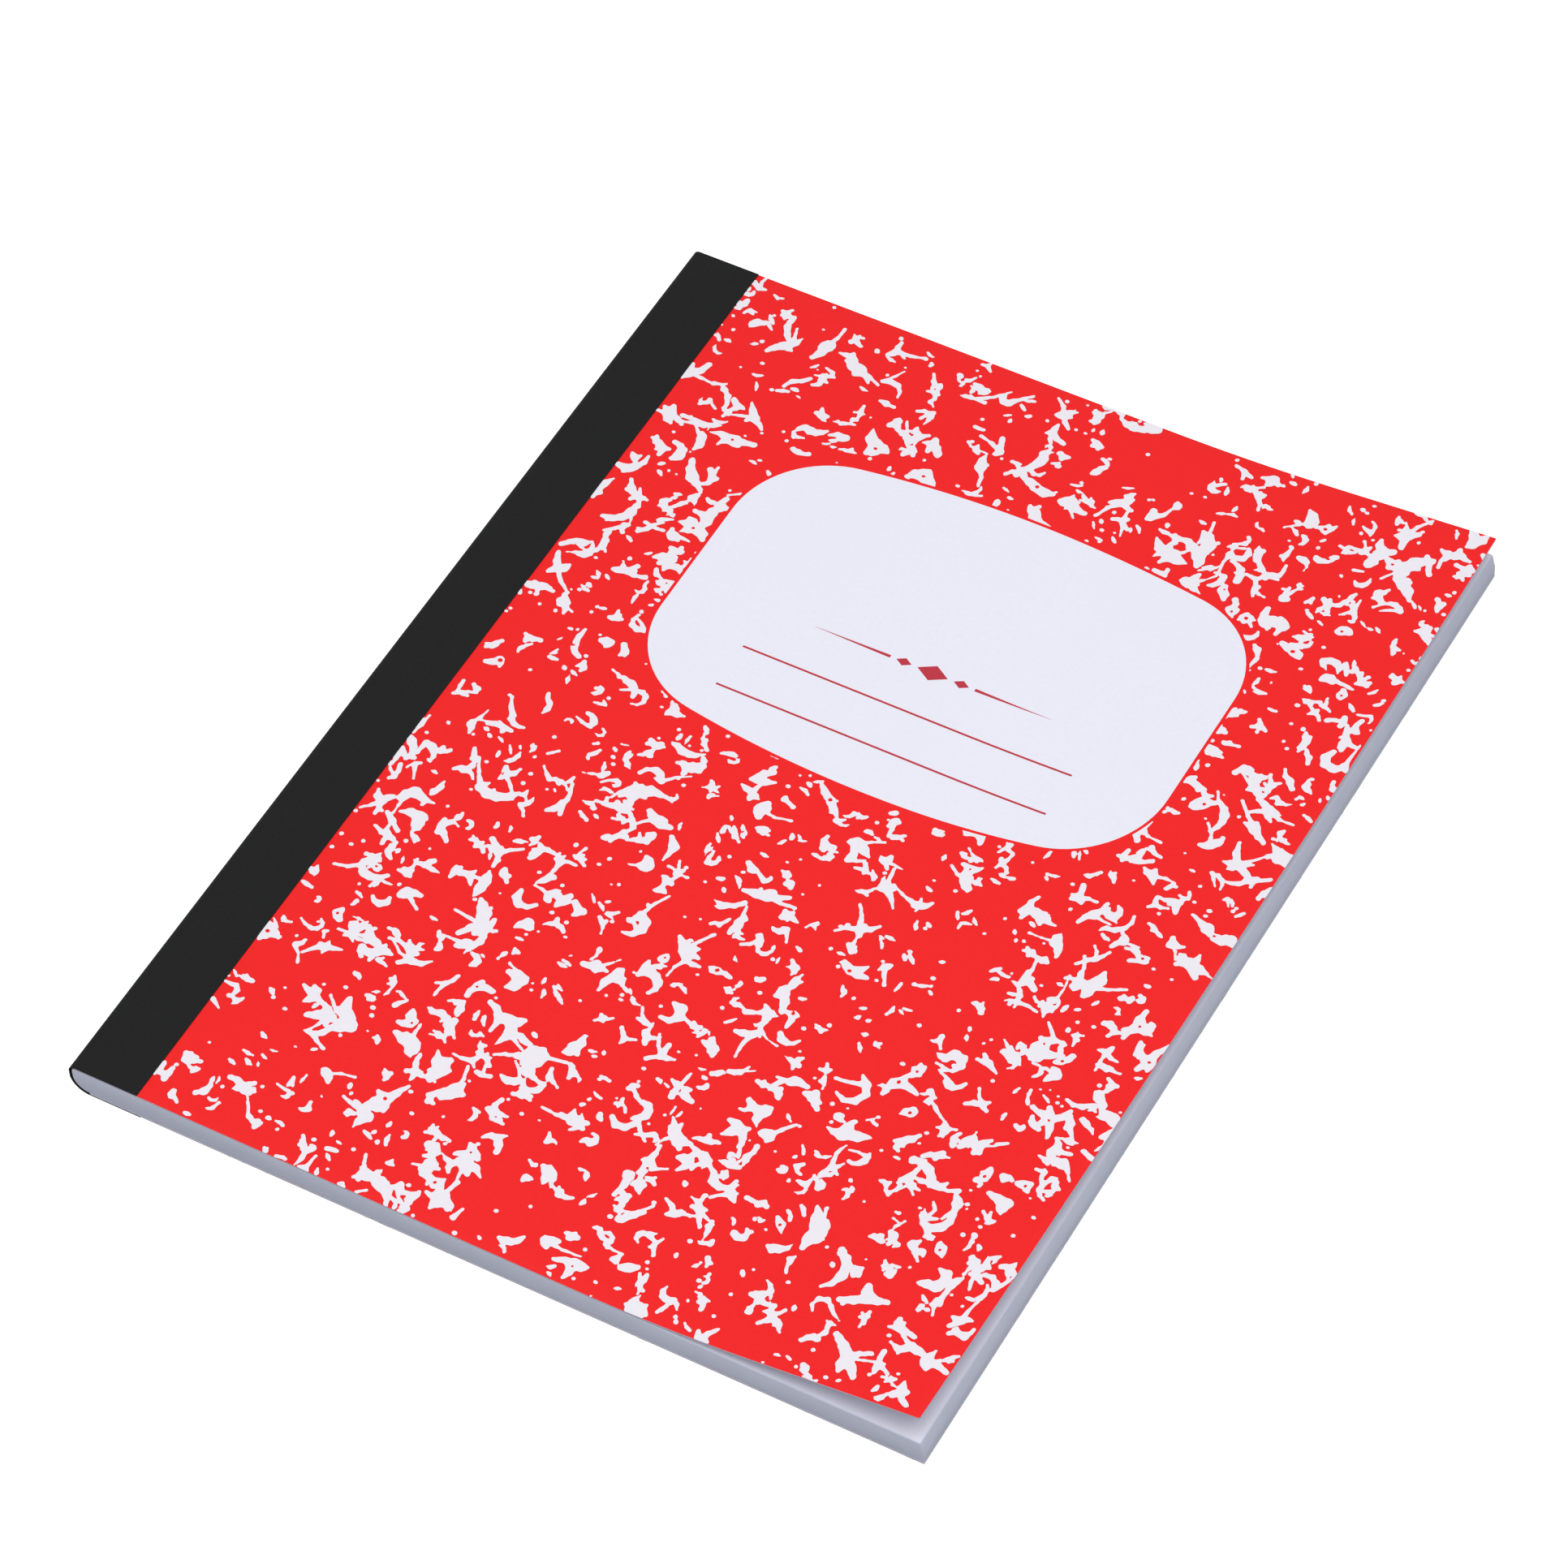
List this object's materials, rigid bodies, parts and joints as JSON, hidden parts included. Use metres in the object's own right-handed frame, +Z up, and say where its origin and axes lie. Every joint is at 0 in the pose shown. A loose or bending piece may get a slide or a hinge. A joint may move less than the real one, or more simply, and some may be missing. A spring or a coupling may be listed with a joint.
{
  "type": "composition notebook",
  "caption": "Closed soft-cover notebook with marbled card covers, a blank name panel, a taped spine and a solid page block; both covers hinge open.",
  "frame": {"origin": "on the table under the middle of the closed book", "axes": "+X from the spine to the fore edge, +Y from the tail to the head, +Z up out of the front cover"},
  "size_m": [0.1906, 0.2476, 0.0152],
  "materials": {
    "cover_card": "red printed card, satin",
    "cover_white": "unprinted white of the card, satin",
    "label_ink": "dark red printing ink",
    "spine_tape": "black binding tape, matte, fine cloth grain",
    "pages": "white writing paper, cut edges",
    "thread": "white cotton thread"
  },
  "bodies": {
    "page_block": {"page_block": "pages", "binding_thread": "thread", "spine_tape": "spine_tape"},
    "front_cover": {"front_cover": "cover_card", "front_marbling": "cover_white", "label_panel": "cover_white", "label_rules": "label_ink", "label_ornament": "label_ink"},
    "back_cover": {"back_cover": "cover_card", "back_marbling": "cover_white"}
  },
  "joints": [
    {"name": "front_cover_hinge", "type": "hinge", "parent": "page_block", "child": "front_cover", "pos_m": [-0.09375, 0, 0.007], "axis": [0, -1, 0], "range_deg": [0, 178], "deforming": ["spine_tape"]},
    {"name": "back_cover_hinge", "type": "hinge", "parent": "page_block", "child": "back_cover", "pos_m": [-0.09105, 0, 0.0002], "axis": [0, 1, 0], "range_deg": [0, 178], "deforming": ["spine_tape"]}
  ]
}
